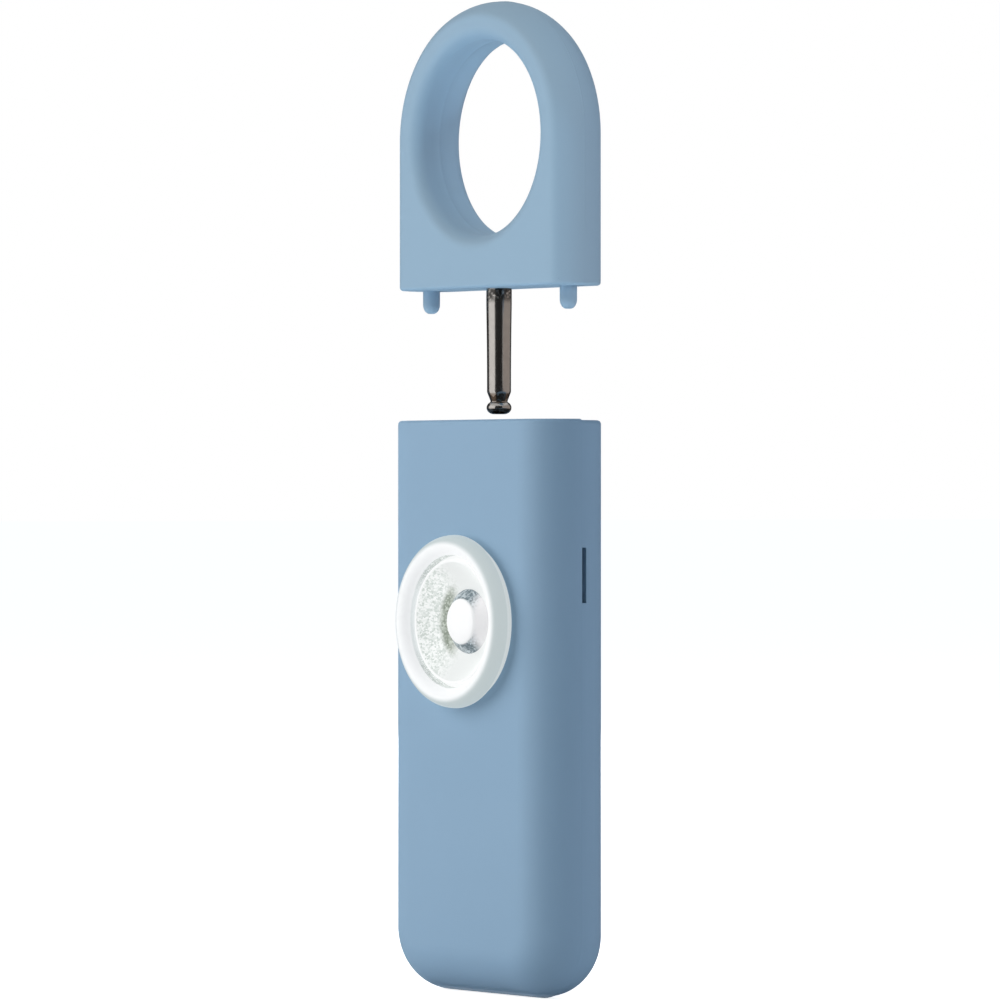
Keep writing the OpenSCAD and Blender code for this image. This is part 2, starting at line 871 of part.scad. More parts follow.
module handle_front() {
    color("lightblue") placed() translate([0, 0, handle_z]) difference() {
        intersection() {
            handle_solid();
            translate([0, 0, -handle_z]) ahead_of(-parting_gap / 2);
        }
        handle_pegs(head_fit);
    }
}

module handle_rear() {
    color("lightblue") placed() translate([0, 0, handle_z]) union() {
        intersection() {
            handle_solid();
            translate([0, 0, -handle_z]) behind(parting_gap / 2);
        }
        handle_pegs(0);
    }
}

module pull_pin() {
    shank_z = waist_up + neck_l;
    color("dimgray") placed() translate([0, 0, handle_z - pin_l]) rotate_extrude() {
        intersection() {
            translate([0, pin_r]) circle(pin_r);
            square([pin_d, waist_up]);
        }
        translate([0, pin_r]) square([waist_d / 2, shank_z - pin_r]);
        polygon([
            [0, waist_up], [waist_d / 2, waist_up], [pin_r, shank_z],
            [pin_r, pin_l + head_up], [0, pin_l + head_up]
        ]);
        translate([0, pin_l + head_up]) square([head_d / 2, head_h]);
    }
}

front_shell();
rear_shell();
light_ring();
reflector();
strobe_lens();
strobe_led();
circuit_board();
board_screws();
driver_chip();
boost_coil();
board_resistors();
board_capacitors();
piezo_plate();
piezo_ceramic();
siren_contacts();
battery_tray();
coin_cell_front();
coin_cell_rear();
negative_contact();
positive_contact();
pin_switch();
switch_plunger();
switch_spring();
pin_guide();
pin_clip();
handle_front();
handle_rear();
pull_pin();
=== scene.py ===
import json
import math

import bmesh
import bpy
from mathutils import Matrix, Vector


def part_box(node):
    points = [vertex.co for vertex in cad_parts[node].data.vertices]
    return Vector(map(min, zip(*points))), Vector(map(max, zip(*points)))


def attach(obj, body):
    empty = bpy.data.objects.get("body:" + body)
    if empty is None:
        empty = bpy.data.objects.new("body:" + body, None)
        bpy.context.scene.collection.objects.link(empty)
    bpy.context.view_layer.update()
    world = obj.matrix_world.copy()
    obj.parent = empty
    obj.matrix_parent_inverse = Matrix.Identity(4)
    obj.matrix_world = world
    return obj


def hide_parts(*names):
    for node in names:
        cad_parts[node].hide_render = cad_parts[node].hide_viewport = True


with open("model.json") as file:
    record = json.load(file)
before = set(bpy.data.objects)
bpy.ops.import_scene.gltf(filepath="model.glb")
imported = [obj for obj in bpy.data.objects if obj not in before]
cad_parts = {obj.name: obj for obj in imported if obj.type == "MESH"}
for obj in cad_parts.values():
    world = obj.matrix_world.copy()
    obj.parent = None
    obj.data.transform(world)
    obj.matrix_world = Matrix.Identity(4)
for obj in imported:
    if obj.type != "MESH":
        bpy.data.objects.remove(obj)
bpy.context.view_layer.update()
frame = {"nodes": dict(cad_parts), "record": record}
mm = 0.001
midY = 0.5 * (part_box("pull_pin")[0].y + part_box("pull_pin")[1].y)  # depth of the case's middle plane
print("frame loaded:", len(frame["nodes"]), "nodes")


# camera

cameraSettings = {
    "turn": 52.0,  # degrees from straight in front towards the right side
    "distance": 0.650,
    "height": 0.0506,
    "aside": 0.0001,
    "viewWidth": 0.10256,  # width of the view at the part's axis
}


def makeCamera(settings):
    turn = math.radians(settings["turn"])
    back = Vector((math.sin(turn), -math.cos(turn), 0))
    right = Vector((math.cos(turn), math.sin(turn), 0))
    data = bpy.data.cameras.new("camera")
    data.sensor_fit = "HORIZONTAL"
    data.lens = data.sensor_width * settings["distance"] / settings["viewWidth"]
    data.clip_start = 0.01
    cameraObject = bpy.data.objects.new("camera", data)
    bpy.context.scene.collection.objects.link(cameraObject)
    aim = Vector((0, midY, settings["height"])) + right * settings["aside"]
    cameraObject.location = aim + back * settings["distance"]
    cameraObject.rotation_euler = back.to_track_quat("Z", "Y").to_euler()
    bpy.context.scene.camera = cameraObject


makeCamera(cameraSettings)
bpy.context.scene.view_settings.view_transform = "Standard"
print("camera placed")


# shader helpers

def addNode(tree, kind, inputs=None, **settings):
    node = tree.nodes.new(kind)
    for name, value in settings.items():
        setattr(node, name, value)
    for name, value in (inputs or {}).items():
        node.inputs[name].default_value = value
    return node


def newGroup(name, inputs, outputs):
    group = bpy.data.node_groups.new(name, "ShaderNodeTree")
    for socketName, kind, value in inputs:
        socket = group.interface.new_socket(socketName, in_out="INPUT", socket_type=kind)
        socket.default_value = value
    for socketName, kind in outputs:
        group.interface.new_socket(socketName, in_out="OUTPUT", socket_type=kind)
    return group, group.nodes.new("NodeGroupInput"), group.nodes.new("NodeGroupOutput")


def newMaterial(name, **sockets):
    material = bpy.data.materials.new(name)
    material.use_nodes = True
    shader = material.node_tree.nodes["Principled BSDF"]
    for socketName, value in sockets.items():
        shader.inputs[socketName].default_value = value
    return material, material.node_tree, shader


def addGroup(tree, group, values):
    node = tree.nodes.new("ShaderNodeGroup")
    node.node_tree = group
    for socketName, value in values.items():
        node.inputs[socketName].default_value = value
    return node


def addBump(tree, shader, height, strength, distance):
    bump = addNode(tree, "ShaderNodeBump", {"Strength": strength, "Distance": distance})
    tree.links.new(height, bump.inputs["Height"])
    tree.links.new(bump.outputs["Normal"], shader.inputs["Normal"])


# soft step of a value from 0 to 1
def addFade(tree, value, low, high):
    limits = {"From Min": low, "From Max": high}
    fade = addNode(tree, "ShaderNodeMapRange", limits, interpolation_type="SMOOTHSTEP")
    tree.links.new(value, fade.inputs["Value"])
    return fade.outputs["Result"]


# mix of two colours, each given as a colour or as another node's output
def addMix(tree, factor, first, second):
    mix = addNode(tree, "ShaderNodeMix", data_type="RGBA")
    tree.links.new(factor, mix.inputs["Factor"])
    for socketName, color in (("A", first), ("B", second)):
        if isinstance(color, tuple):
            mix.inputs[socketName].default_value = (*color, 1)
        else:
            tree.links.new(color, mix.inputs[socketName])
    return mix.outputs["Result"]


# fine moulded grain with a soft change of tone over the piece
def makeGrainGroup():
    group, given, result = newGroup(
        "mouldedGrain",
        [
            ("Color", "NodeSocketColor", (0.5, 0.5, 0.5, 1)),
            ("Tone Change", "NodeSocketFloat", 0.03),
            ("Tone Scale", "NodeSocketFloat", 60.0),
            ("Grain Scale", "NodeSocketFloat", 5000.0),
            ("Roughness Low", "NodeSocketFloat", 0.45),
            ("Roughness High", "NodeSocketFloat", 0.6),
        ],
        [("Color", "NodeSocketColor"), ("Roughness", "NodeSocketFloat"), ("Height", "NodeSocketFloat")],
    )
    place = addNode(group, "ShaderNodeTexCoord")
    tone = addNode(group, "ShaderNodeTexNoise", {"Detail": 2.0, "Roughness": 0.5})
    grain = addNode(group, "ShaderNodeTexNoise", {"Detail": 3.0, "Roughness": 0.6})
    spread = addNode(group, "ShaderNodeMath", {1: 0.5}, operation="SUBTRACT")
    scaled = addNode(group, "ShaderNodeMath", {2: 1.0}, operation="MULTIPLY_ADD")
    shade = addNode(group, "ShaderNodeHueSaturation")
    rough = addNode(group, "ShaderNodeMapRange", {"From Min": 0.3, "From Max": 0.7})
    link = group.links.new
    link(place.outputs["Object"], tone.inputs["Vector"])
    link(place.outputs["Object"], grain.inputs["Vector"])
    link(given.outputs["Tone Scale"], tone.inputs["Scale"])
    link(given.outputs["Grain Scale"], grain.inputs["Scale"])
    link(tone.outputs["Fac"], spread.inputs[0])
    link(spread.outputs[0], scaled.inputs[0])
    link(given.outputs["Tone Change"], scaled.inputs[1])
    link(scaled.outputs[0], shade.inputs["Value"])
    link(given.outputs["Color"], shade.inputs["Color"])
    link(grain.outputs["Fac"], rough.inputs["Value"])
    link(given.outputs["Roughness Low"], rough.inputs["To Min"])
    link(given.outputs["Roughness High"], rough.inputs["To Max"])
    link(shade.outputs["Color"], result.inputs["Color"])
    link(rough.outputs["Result"], result.inputs["Roughness"])
    link(grain.outputs["Fac"], result.inputs["Height"])
    return group


# small glittering facets
def makeSparkleGroup():
    group, given, result = newGroup(
        "sparkle",
        [
            ("Dark", "NodeSocketColor", (0.2, 0.22, 0.22, 1)),
            ("Light", "NodeSocketColor", (1, 1, 1, 1)),
            ("Scale", "NodeSocketFloat", 4000.0),
            ("Dark Share", "NodeSocketFloat", 0.4),
        ],
        [("Color", "NodeSocketColor"), ("Height", "NodeSocketFloat")],
    )
    place = addNode(group, "ShaderNodeTexCoord")
    cells = addNode(group, "ShaderNodeTexVoronoi", {"Randomness": 1.0}, feature="F1")
    drift = addNode(group, "ShaderNodeTexNoise", {"Detail": 2.0})
    driftScale = addNode(group, "ShaderNodeMath", {1: 0.22}, operation="MULTIPLY")
    split = addNode(group, "ShaderNodeSeparateColor")
    pick = addNode(group, "ShaderNodeMath", operation="ADD")
    level = addNode(group, "ShaderNodeMapRange", {"To Min": 0.0, "To Max": 1.0})
    upper = addNode(group, "ShaderNodeMath", {1: 0.75}, operation="ADD")
    mix = addNode(group, "ShaderNodeMix", data_type="RGBA")
    half = addNode(group, "ShaderNodeMath", {1: 0.5}, operation="SUBTRACT")
    link = group.links.new
    link(place.outputs["Object"], cells.inputs["Vector"])
    link(place.outputs["Object"], drift.inputs["Vector"])
    link(given.outputs["Scale"], cells.inputs["Scale"])
    link(given.outputs["Scale"], driftScale.inputs[0])
    link(driftScale.outputs[0], drift.inputs["Scale"])
    link(cells.outputs["Color"], split.inputs["Color"])
    link(drift.outputs["Fac"], half.inputs[0])
    link(split.outputs["Red"], pick.inputs[0])
    link(half.outputs[0], pick.inputs[1])
    link(pick.outputs[0], level.inputs["Value"])
    link(given.outputs["Dark Share"], level.inputs["From Min"])
    link(given.outputs["Dark Share"], upper.inputs[0])
    link(upper.outputs[0], level.inputs["From Max"])
    link(level.outputs["Result"], mix.inputs["Factor"])
    link(given.outputs["Dark"], mix.inputs["A"])
    link(given.outputs["Light"], mix.inputs["B"])
    link(mix.outputs["Result"], result.inputs["Color"])
    link(split.outputs["Green"], result.inputs["Height"])
    return group


grainGroup = makeGrainGroup()
sparkleGroup = makeSparkleGroup()


# materials of the shells, the handle and the inner parts

finishSettings = {
    "caseBlue": {
        "color": (0.262, 0.402, 0.552), "toneChange": 0.05,
        "roughness": (0.5, 0.62), "grain": 6500.0, "bump": 0.10,
    },
    # the case's blue painted a little lighter and warmer for the handle: painted light
    "handleBluePaintedLight": {
        "color": (0.290, 0.418, 0.545), "toneChange": 0.05,
        "roughness": (0.5, 0.62), "grain": 6500.0, "bump": 0.10,
    },
    "lampWhite": {
        "color": (0.85, 0.82, 0.66), "toneChange": 0.05,
        "roughness": (0.3, 0.4), "grain": 3000.0, "bump": 0.05,
    },
    "boardGreen": {
        "color": (0.03, 0.16, 0.07), "toneChange": 0.3,
        "roughness": (0.3, 0.5), "grain": 1800.0, "bump": 0.2,
    },
    "chipBlack": {
        "color": (0.025, 0.025, 0.027), "toneChange": 0.2,
        "roughness": (0.5, 0.7), "grain": 4000.0, "bump": 0.3,
    },
    "coilCopper": {
        "color": (0.45, 0.20, 0.10), "toneChange": 0.3,
        "roughness": (0.3, 0.45), "grain": 2500.0, "bump": 0.3, "metal": 0.8,
    },
    "ceramicCream": {
        "color": (0.80, 0.76, 0.66), "toneChange": 0.08,
        "roughness": (0.5, 0.7), "grain": 3000.0, "bump": 0.1,
    },
    "steelBright": {
        "color": (0.60, 0.60, 0.60), "toneChange": 0.1,
        "roughness": (0.2, 0.35), "grain": 3000.0, "bump": 0.05, "metal": 1.0,
    },
    "brassSheet": {
        "color": (0.66, 0.50, 0.22), "toneChange": 0.15,
        "roughness": (0.25, 0.4), "grain": 3000.0, "bump": 0.05, "metal": 1.0,
    },
    "trayGrey": {
        "color": (0.20, 0.22, 0.25), "toneChange": 0.1,
        "roughness": (0.5, 0.65), "grain": 5000.0, "bump": 0.2,
    },
    "plungerWhite": {
        "color": (0.80, 0.80, 0.78), "toneChange": 0.05,
        "roughness": (0.4, 0.5), "grain": 5000.0, "bump": 0.1,
    },
}
finishOfSlot = {
    "case_blue": "caseBlue", "handle_blue": "handleBluePaintedLight", "lamp_white": "lampWhite",
    "board_green": "boardGreen", "chip_black": "chipBlack", "coil_copper": "coilCopper",
    "ceramic_cream": "ceramicCream", "steel_bright": "steelBright", "brass_sheet": "brassSheet",
    "tray_grey": "trayGrey", "plunger_white": "plungerWhite",
}


def makeFinish(name, settings):
    material, tree, shader = newMaterial(name, **{"Specular IOR Level": 0.2})
    shader.inputs["Metallic"].default_value = settings.get("metal", 0.0)
    grain = addGroup(tree, grainGroup, {
        "Color": (*settings["color"], 1),
        "Tone Change": settings["toneChange"],
        "Grain Scale": settings["grain"],
        "Roughness Low": settings["roughness"][0],
        "Roughness High": settings["roughness"][1],
    })
    tree.links.new(grain.outputs["Color"], shader.inputs["Base Color"])
    tree.links.new(grain.outputs["Roughness"], shader.inputs["Roughness"])
    addBump(tree, shader, grain.outputs["Height"], settings["bump"], 0.00004)
    return material


finishes = {name: makeFinish(name, settings) for name, settings in finishSettings.items()}
print("finishes made:", len(finishes))


def paint(piece, material):
    if piece.material_slots:
        for slot in piece.material_slots:
            slot.material = material
    else:
        piece.data.materials.append(material)


for row in frame["record"]["subparts"]:
    finish = finishOfSlot.get(row["material_slot"])
    if finish:
        paint(frame["nodes"][row["node"]], finishes[finish])


# mesh helpers, sizes in millimetres

def makePiece(name, points, faces, body, replaced):
    mesh = bpy.data.meshes.new(name)
    mesh.from_pydata([Vector(p) * mm for p in points], [], faces)
    work = bmesh.new()
    work.from_mesh(mesh)
    bmesh.ops.remove_doubles(work, verts=work.verts, dist=1e-8)
    bmesh.ops.recalc_face_normals(work, faces=work.faces)
    for face in work.faces:
        face.smooth = True
    work.to_mesh(mesh)
    work.free()
    mesh.set_sharp_from_angle(angle=math.radians(38))
    piece = bpy.data.objects.new(name, mesh)
    bpy.context.scene.collection.objects.link(piece)
    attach(piece, body)
    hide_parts(*replaced)
    return piece


# faces between rings of points, each ring closed, and the last ring joined to the first if asked
def ringFaces(count, length, joined, start=0):
    faces = []
    for i in range(count if joined else count - 1):
        for k in range(length):
            a = start + i * length
            b = start + ((i + 1) % count) * length
            faces.append((a + k, a + (k + 1) % length, b + (k + 1) % length, b + k))
    return faces


# points of an arc in a section, angles in degrees
def arc(centreR, centreH, radiusR, radiusH, start, stop, steps):
    turns = [math.radians(start + (stop - start) * i / steps) for i in range(steps + 1)]
    return [(centreR + radiusR * math.cos(t), centreH + radiusH * math.sin(t)) for t in turns]


# a closed section turned round an axis: place puts (radius, height, turn) into the frame
def turned(section, place, steps, points, faces):
    start = len(points)
    for i in range(steps):
        turn = 2 * math.pi * i / steps
        points.extend(place(r, h, turn) for r, h in section)
    faces.extend(ringFaces(steps, len(section), True, start))


# handle: a flat plate with a round arch, a finger ring, rounded edges and two pegs below

handleSettings = {
    "bottom": 72.3,  # height of its bottom plane
    "centreUp": 15.4,  # from there up to the middle of the ring
    "halfWidth": 14.0,
    "halfDepth": 3.25,
    "holeRadius": 10.05,
    "rimRound": 1.4,
    "sideRadius": 4.8,
    "edgeRound": 1.2,
    "footRound": 0.35,
    "partingRidge": 0.03,
    "ridgeHalf": 0.14,
    "holeRidgeHalf": 0.1,
    "footBand": 0.3,  # rows just above the foot's round
    "pegAside": 11.4,
    "pegRadius": 0.88,
    "pegLength": 2.35,
    "pegRoot": 1.5,  # length inside the handle
    "pegTip": 1.1,  # height of the rounded tip and its flat, as shares of the radius
    "pegFlat": 0.25,
}


# how far the section draws in at a height above the bottom plane
def footInset(s, above):
    r = s["footRound"]
    return r - math.sqrt(max(0.0, r * r - (r - above) ** 2)) if above < r else 0.0


# half the depth of the handle at a place measured from the ring's middle
def handleDepth(s, x, z):
    inset = footInset(s, z + s["centreUp"])
    outer = math.hypot(x, z) if z > 0 else abs(x)
    u = outer - s["halfWidth"] + s["sideRadius"]
    arm = s["sideRadius"] - s["edgeRound"]
    edgeH = s["halfDepth"] - s["edgeRound"]
    edgeU = math.sqrt(arm * arm - edgeH * edgeH)
    sideR = s["sideRadius"] - inset
    if u >= edgeU / arm * sideR:
        depth = math.sqrt(max(0.0, sideR * sideR - u * u))
    elif u >= edgeU:
        depth = edgeH + math.sqrt(max(0.0, (s["edgeRound"] - inset) ** 2 - (u - edgeU) ** 2))
    else:
        depth = s["halfDepth"] - inset
    away = s["holeRadius"] + s["rimRound"] - math.hypot(x, z)
    if away > 0:
        rim = s["halfDepth"] - s["rimRound"] + math.sqrt(max(0.0, s["rimRound"] ** 2 - away * away))
        depth = min(depth, rim)
    return depth


# the outline from the right end of the arch round to the right side, as (kind, x, z)
def handleOutline(s):
    w, low, r = s["halfWidth"], s["centreUp"], s["footRound"]
    archSteps, cornerSteps, sideSteps, footSteps = 120, 8, 18, 28
    outline = []
    for i in range(archSteps):
        t = math.pi * i / archSteps
        outline.append(("arch", w * math.cos(t), w * math.sin(t)))
    turns = [math.pi / 2 * i / cornerSteps for i in range(cornerSteps + 1)]
    corner = [(w - r + r * math.cos(t), -low + r - r * math.sin(t)) for t in turns]
    sides = [-(low - r) * i / sideSteps for i in range(sideSteps)]
    half = w - r
    bottom = [half * math.sin(math.pi / 2 * (1 - i / footSteps)) for i in range(1, 2 * footSteps)]
    outline += [("side", -w, z) for z in sides]
    outline += [("side", -x, z) for x, z in corner[:-1]]
    outline.append(("bottom", -half, -low))
    outline += [("bottom", -x, -low) for x in bottom]
    outline.append(("bottom", half, -low))
    outline += [("side", x, z) for x, z in reversed(corner[:-1])]
    outline += [("side", w, z) for z in reversed(sides[1:])]
    return outline


# distances from the ring's middle along one ray, from the rim out to the outline
def handleRay(s, kind, x, z):
    rimSteps, flatSteps, edgeSteps, sideSteps = 9, 7, 7, 8
    quarter = math.pi / 2
    full = math.hypot(x, z)
    rimEnd = s["holeRadius"] + s["rimRound"]
    rim = [rimEnd - s["rimRound"] * math.cos(quarter * i / rimSteps) for i in range(rimSteps + 1)]
    arm = s["sideRadius"] - s["edgeRound"]
    edgeH = s["halfDepth"] - s["edgeRound"]
    edgeU = math.sqrt(arm * arm - edgeH * edgeH)
    axis = s["halfWidth"] - s["sideRadius"]
    if kind == "bottom":
        lastRound = full * (s["centreUp"] - s["footRound"]) / s["centreUp"]
        first = lastRound - s["footBand"]
        if abs(x) > axis + edgeU:
            first = min(first, full * (axis + edgeU) / abs(x))
        outer = [first + (lastRound - first) * i / edgeSteps for i in range(edgeSteps + 1)]
        for i in range(1, sideSteps + 1):
            above = s["footRound"] * (1 - math.sin(quarter * i / sideSteps))
            outer.append(full * (s["centreUp"] - above) / s["centreUp"])
    else:
        reach = full if kind == "arch" else abs(x)
        sideR = reach - axis
        turn = math.atan2(edgeH, edgeU)
        edgeTurns = [quarter - (quarter - turn) * i / edgeSteps for i in range(edgeSteps)]
        us = [edgeU + s["edgeRound"] * math.cos(t) for t in edgeTurns]
        us += [sideR * math.cos(turn * (1 - i / sideSteps)) for i in range(sideSteps + 1)]
        outer = [full * (axis + u) / reach for u in us]
    flat = [rimEnd + (outer[0] - rimEnd) * i / flatSteps for i in range(1, flatSteps)]
    return [d / full for d in rim + flat + outer]


def makeHandle(s):
    points = []
    faces = []
    outline = handleOutline(s)
    centreZ = s["bottom"] + s["centreUp"]
    wall = s["halfDepth"] - s["rimRound"]
    for kind, x, z in outline:
        full = math.hypot(x, z)
        half = []
        for share in handleRay(s, kind, x, z):
            half.append((share, handleDepth(s, x * share, z * share)))
        end = half[-1][1] if kind == "bottom" else s["ridgeHalf"]
        half[-1] = (1.0, end)
        hole = s["holeRadius"] / full
        front = [(hole, s["holeRidgeHalf"]), (hole, wall * 0.5)] + half
        crest = 1.0 if kind == "bottom" else 1.0 + s["partingRidge"] / full
        middle = [(1.0, end * 0.5), (crest, 0.0), (1.0, -end * 0.5)]
        back = [(share, -d) for share, d in reversed(front)]
        loop = [(hole - s["partingRidge"] / full, 0.0)] + front + middle + back
        points.extend((x * share, midY / mm - d, centreZ + z * share) for share, d in loop)
    faces.extend(ringFaces(len(outline), len(loop), True))
    tip = s["pegRadius"] * s["pegTip"]
    flat = s["pegRadius"] * s["pegFlat"]
    peg = [(0.0, s["pegRoot"]), (s["pegRadius"], s["pegRoot"]), (s["pegRadius"], -s["pegLength"] + tip)]
    peg += arc(flat, -s["pegLength"] + tip, s["pegRadius"] - flat, tip, 0, -90, 10)[1:]
    peg += [(0.0, -s["pegLength"])]
    for side in (-1, 1):
        def pegPlace(r, h, t):
            return (side * s["pegAside"] + r * math.cos(t), midY / mm + r * math.sin(t), s["bottom"] + h)
        turned(peg, pegPlace, 40, points, faces)
    piece = makePiece("ringHandle", points, faces, "handle", ["handle_front", "handle_rear"])
    piece.data.materials.append(finishes["handleBluePaintedLight"])
    return piece


ringHandle = makeHandle(handleSettings)
print("handle made:", len(ringHandle.data.polygons), "faces")


# pull pin: rough collar darkened with painted shade, polished shank, cone, waist and flattened ball, the cone
# and ball with a painted dark reflection and glints

pinSettings = {
    "tip": 59.4,
    "ballRadius": 1.28,
    "ballHalfHeight": 0.66,
    "ballFlat": 0.42,  # flat share of the ball's radius
    "ballEnd": 62,  # degrees up to the waist
    "tipDimple": 0.02,
    "waistRadius": 0.88,
    "shankRadius": 1.23,
    "collarRadius": 1.31,
    "collarBottom": 70.6,
    "collarFade": 0.9,  # height over which the collar grows rough
    "waistUp": (1.32, 1.42),  # waist and cone, as heights above the tip
    "coneTop": (2.2, 2.32),
    "waistFlare": 0.02,
    "coneInset": 0.03,
    "seat": 73.9,
    "headRadius": 2.0,
    "headTop": 76.3,
    "metal": (0.33, 0.315, 0.30),
    # the collar's rough specks: a real rough finish, darkened as painted shade and reflection under the
    # handle, with painted glints
    "collarDarkAndShade": (0.05, 0.047, 0.044),
    "collarSpeckAndGlint": (0.50, 0.48, 0.46),
    # painted dark reflection on the ball and cone, with light specks as painted glints
    "tipPaintedDarkReflection": (0.060, 0.042, 0.030),
    "tipPaintedGlint": (0.45, 0.40, 0.36),
    "ballPaintedDark": 0.58,  # the ball carries the painted dark reflection up to this height above the tip
    "conePaintedDark": (1.28, 2.15),  # and the cone between these
    "ballSoft": 0.08,  # half the width of those edges
    "coneSoft": 0.1,
}


def makePinMetal(s):
    material, tree, shader = newMaterial("darkNickel", Metallic=1.0)
    grain = addGroup(tree, grainGroup, {
        "Color": (*s["metal"], 1), "Tone Change": 0.25, "Tone Scale": 1400.0, "Grain Scale": 9000.0,
        "Roughness Low": 0.14, "Roughness High": 0.24,
    })
    sparkle = addGroup(tree, sparkleGroup, {
        "Dark": (*s["collarDarkAndShade"], 1), "Light": (*s["collarSpeckAndGlint"], 1), "Scale": 4200.0, "Dark Share": 0.5,
    })
    # painted dark reflection and painted glints for the tip
    paintedTipReflection = addGroup(tree, sparkleGroup, {
        "Dark": (*s["tipPaintedDarkReflection"], 1), "Light": (*s["tipPaintedGlint"], 1), "Scale": 2400.0, "Dark Share": 0.62,
    })
    place = addNode(tree, "ShaderNodeTexCoord")
    split = addNode(tree, "ShaderNodeSeparateXYZ")
    height = addNode(tree, "ShaderNodeMath", operation="MULTIPLY")
    link = tree.links.new
    link(place.outputs["Object"], split.inputs["Vector"])
    low = s["collarBottom"] * mm
    # the collar mask: rough specks with painted shade under the handle
    collar = addFade(tree, split.outputs["Z"], low, low + s["collarFade"] * mm)
    ballTop = (s["tip"] + s["ballPaintedDark"]) * mm
    coneLow, coneTop = [(s["tip"] + h) * mm for h in s["conePaintedDark"]]
    ballSoft, coneSoft = s["ballSoft"] * mm, s["coneSoft"] * mm
    # where the ball and the cone take the painted dark reflection and glints
    ball = addFade(tree, split.outputs["Z"], ballTop + ballSoft, ballTop - ballSoft)
    coneFrom = addFade(tree, split.outputs["Z"], coneLow - ballSoft, coneLow + ballSoft)
    coneTo = addFade(tree, split.outputs["Z"], coneTop + coneSoft, coneTop - coneSoft)
    tip = addNode(tree, "ShaderNodeMath", operation="MULTIPLY_ADD")
    link(coneFrom, tip.inputs[0])
    link(coneTo, tip.inputs[1])
    link(ball, tip.inputs[2])
    color = addMix(tree, collar, grain.outputs["Color"], sparkle.outputs["Color"])
    color = addMix(tree, tip.outputs[0], color, paintedTipReflection.outputs["Color"])
    link(color, shader.inputs["Base Color"])
    link(grain.outputs["Roughness"], shader.inputs["Roughness"])
    link(sparkle.outputs["Height"], height.inputs[0])
    link(collar, height.inputs[1])
    addBump(tree, shader, height.outputs[0], 0.5, 0.00004)
    return material


def makePin(s):
    tip, ball, half = s["tip"], s["ballRadius"], s["ballHalfHeight"]
    flat = ball * s["ballFlat"]
    section = [(0.0, tip + s["tipDimple"])]
    section += arc(flat, tip + half, ball - flat, half, -90, s["ballEnd"], 18)
    waistLow, waistHigh = [tip + h for h in s["waistUp"]]
    coneEnd, shankEnd = [tip + h for h in s["coneTop"]]
    section += [(s["waistRadius"], waistLow), (s["waistRadius"] + s["waistFlare"], waistHigh)]
    section += [(s["shankRadius"] - s["coneInset"], coneEnd), (s["shankRadius"], shankEnd)]
    taperSteps = 8
    for i in range(1, taperSteps + 1):
        share = i / taperSteps
        radius = s["shankRadius"] + (s["collarRadius"] - s["shankRadius"]) * share * share
        section.append((radius, shankEnd + (s["collarBottom"] - shankEnd) * share))
    section += [(s["collarRadius"], s["seat"]), (s["headRadius"], s["seat"]), (s["headRadius"], s["headTop"])]
    section += [(0.0, s["headTop"])]
    points = []
    faces = []
    turned(section, lambda r, h, t: (r * math.cos(t), midY / mm + r * math.sin(t), h), 72, points, faces)
    piece = makePiece("pullPin", points, faces, "handle", ["pull_pin"])
    piece.data.materials.append(makePinMetal(s))
    return piece


pullPin = makePin(pinSettings)
print("pin made:", len(pullPin.data.polygons), "faces")


# light: milky ring, sparkling dish and lit lens, with painted glow, shade and highlights on them; heights
# from the middle plane to the front

lightSettings = {
    "height": 38.2,
    "face": 4.8,
    "crestRadius": 7.85,
    "innerRound": 1.05,
    "innerHeight": 6.15,
    "outerRound": (0.99, 1.48),
    "lipHeight": 5.72,
    "footRadius": 8.25,
    "spigotRadius": 8.0,
    "boreRadius": 6.8,
    "boreRows": (5.0, 5.6),
    "lipUnder": (0.03, 0.08),  # in and back from the lip
    "footFlare": (0.1, 0.2),
    "footTop": 0.35,
    "faceGap": 0.03,
    "wallReach": (0.02, 0.1),  # how far past the bore and its round the wall's finish goes
    "inside": 2.9,
    # the ring glows as painted light: white on its inner half, painted grey shade on the outer slope, a
    # painted highlight line above the lip
    "color": (0.35, 0.36, 0.358),
    "innerPaintedGlow": (0.615, 0.62, 0.63),
    "outerPaintedShade": (0.12, 0.135, 0.14),
    "outerPaintedShadeGlow": (0.45, 0.505, 0.51),
    "lipPaintedHighlight": (0.54, 0.58, 0.58),
    "wallDark": (0.44, 0.48, 0.46),
    "wallLight": (0.80, 0.82, 0.81),
    "wallPaintedLight": (0.72, 0.75, 0.75),
    "paintedShadeFade": (-0.1, 0.5),  # where the painted white glow turns to painted grey shade, from the crest outwards
    "lipHighlightFade": (0.13, 0.03),  # the painted highlight line, above the lip
    "paintedPlainAside": (-6.6, -4.6),  # the wall is painted plain and light left of these, as painted light
}
